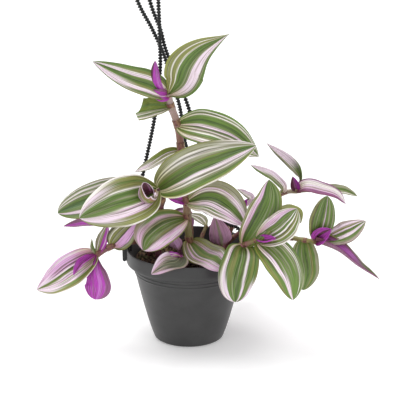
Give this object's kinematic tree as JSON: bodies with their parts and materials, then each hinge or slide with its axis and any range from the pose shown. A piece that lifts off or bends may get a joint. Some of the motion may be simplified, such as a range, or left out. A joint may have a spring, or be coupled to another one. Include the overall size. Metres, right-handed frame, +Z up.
{
  "type": "potted tradescantia",
  "caption": "Trailing house plant with striped leaves in a round flared hanging pot, with a clip-on strand hanger and hook.",
  "frame": {"origin": "centre of the pot's underside", "axes": "+Z up out of the pot, -Y towards the front, +X to the right seen from the front"},
  "size_m": [0.3226, 0.1803, 0.4172],
  "materials": {
    "pot": "smooth satin charcoal",
    "soil": "rough crumbly peat",
    "leaf": "semi-gloss leaf, striped green and pink",
    "hanger": "rope-textured black"
  },
  "bodies": {
    "root": {"pot": "pot", "soil": "soil", "stem_main": "leaf", "stem_front_left": "leaf", "stem_left": "leaf", "stem_front_right": "leaf", "stem_right_low": "leaf", "stem_right_up": "leaf", "shoot_front": "leaf", "shoot_middle": "leaf", "shoot_right": "leaf", "shoot_back_right": "leaf", "shoot_back": "leaf", "stem_back_left": "leaf", "stem_back_right": "leaf", "stem_back_middle": "leaf", "strand_left": "hanger", "strand_front": "hanger", "strand_back": "hanger", "hanger_hook": "hanger"}
  },
  "joints": []
}
